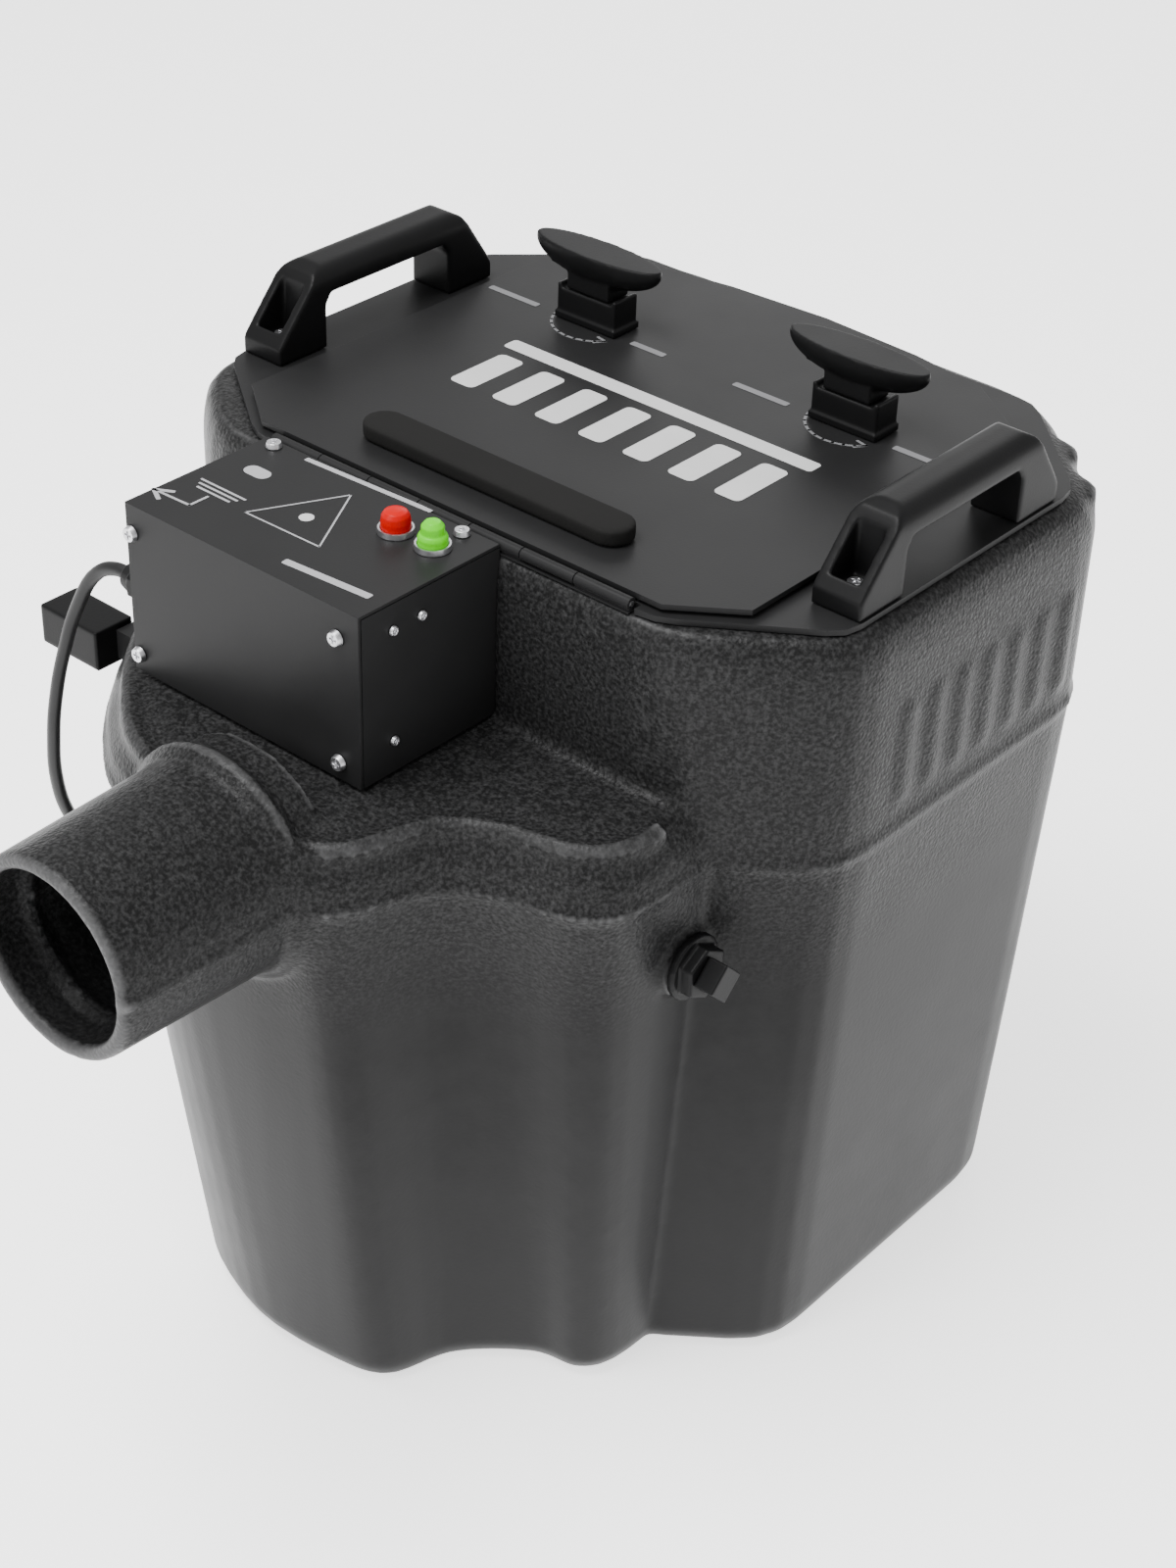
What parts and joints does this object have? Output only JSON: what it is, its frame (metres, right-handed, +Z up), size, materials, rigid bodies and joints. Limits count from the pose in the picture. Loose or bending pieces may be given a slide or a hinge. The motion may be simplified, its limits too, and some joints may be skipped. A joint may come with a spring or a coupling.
{
  "type": "fog machine",
  "caption": "Black moulded low-fog machine with a hinged latching lid, a control box on its front shoulder, carrying handles, a drain plug and a round duct nozzle.",
  "frame": {"origin": "on the floor, under the middle of the water tank", "axes": "+Z up, -Y out of the nozzle, +X to the side with the drain plug"},
  "size_m": [0.4225, 0.6771, 0.501],
  "materials": {
    "tub_plastic": "textured black moulded polyethylene",
    "black_paint": "satin black powder coat",
    "black_nylon": "satin black moulded nylon",
    "rubber": "matt black rubber",
    "zinc_steel": "bright zinc plate",
    "stainless": "brushed stainless steel",
    "red_plastic": "gloss red cap",
    "green_plastic": "gloss green cap",
    "pale_plastic": "pale moulded plastic",
    "grey_plastic": "dark grey moulded plastic"
  },
  "bodies": {
    "root": {"accessory_connector": "black_nylon", "cable_gland": "black_nylon", "connector_bracket": "black_paint", "contactor": "grey_plastic", "control_chassis": "black_paint", "control_cover": "black_paint", "cord_coil": "rubber", "cord_tie": "black_nylon", "cord_tube": "rubber", "cover_front_screw_1": "zinc_steel", "cover_front_screw_2": "zinc_steel", "cover_front_screw_3": "zinc_steel", "cover_front_screw_4": "zinc_steel", "cover_top_screw_1": "zinc_steel", "cover_top_screw_2": "zinc_steel", "drain_bush": "black_nylon", "green_bezel": "zinc_steel", "handle_left": "black_nylon", "handle_left_screw_front": "zinc_steel", "handle_left_screw_rear": "zinc_steel", "handle_right": "black_nylon", "handle_right_screw_front": "zinc_steel", "handle_right_screw_rear": "zinc_steel", "heater_flange": "stainless", "heating_element": "stainless", "hinge_fixed_leaf": "black_paint", "hinge_pin": "zinc_steel", "ice_basket": "stainless", "level_rod": "stainless", "mains_plug": "black_nylon", "red_bezel": "zinc_steel", "rim_gasket": "rubber", "rim_plate": "black_paint", "side_screw_1": "zinc_steel", "side_screw_2": "zinc_steel", "side_screw_3": "zinc_steel", "terminal_block": "pale_plastic", "thermostat_probe": "stainless", "tub_shell": "tub_plastic"},
    "lid": {"lid_plate": "black_paint", "hinge_lid_leaf": "black_paint", "bumper_pad": "rubber", "latch_collar_left": "black_nylon", "latch_collar_right": "black_nylon"},
    "latch_left": {"latch_handle_left": "black_nylon", "latch_cam_left": "stainless"},
    "latch_right": {"latch_handle_right": "black_nylon", "latch_cam_right": "stainless"},
    "red_push": {"red_button": "red_plastic"},
    "green_push": {"green_button": "green_plastic"},
    "drain": {"drain_plug": "black_nylon"}
  },
  "joints": [
    {"name": "lid_hinge", "type": "hinge", "parent": "root", "child": "lid", "pos_m": [0, -0.1435, 0.4575], "axis": [1, 0, 0], "range_deg": [0, 95]},
    {"name": "latch_left_turn", "type": "hinge", "parent": "lid", "child": "latch_left", "pos_m": [-0.0825, 0.058, 0.478], "axis": [0, 0, 1], "range_deg": [-90, 0]},
    {"name": "latch_right_turn", "type": "hinge", "parent": "lid", "child": "latch_right", "pos_m": [0.0825, 0.058, 0.478], "axis": [0, 0, 1], "range_deg": [-90, 0]},
    {"name": "red_button_press", "type": "slide", "parent": "root", "child": "red_push", "axis": [0, 0, -1], "range_m": [0, 0.0025], "stiffness_N_per_m": 400, "springref_m": -0.002},
    {"name": "green_button_press", "type": "slide", "parent": "root", "child": "green_push", "axis": [0, 0, -1], "range_m": [0, 0.0025], "stiffness_N_per_m": 400, "springref_m": -0.002},
    {"name": "drain_plug_out", "type": "slide", "parent": "root", "child": "drain", "axis": [1, 0, 0], "range_m": [0, 0.025]}
  ]
}
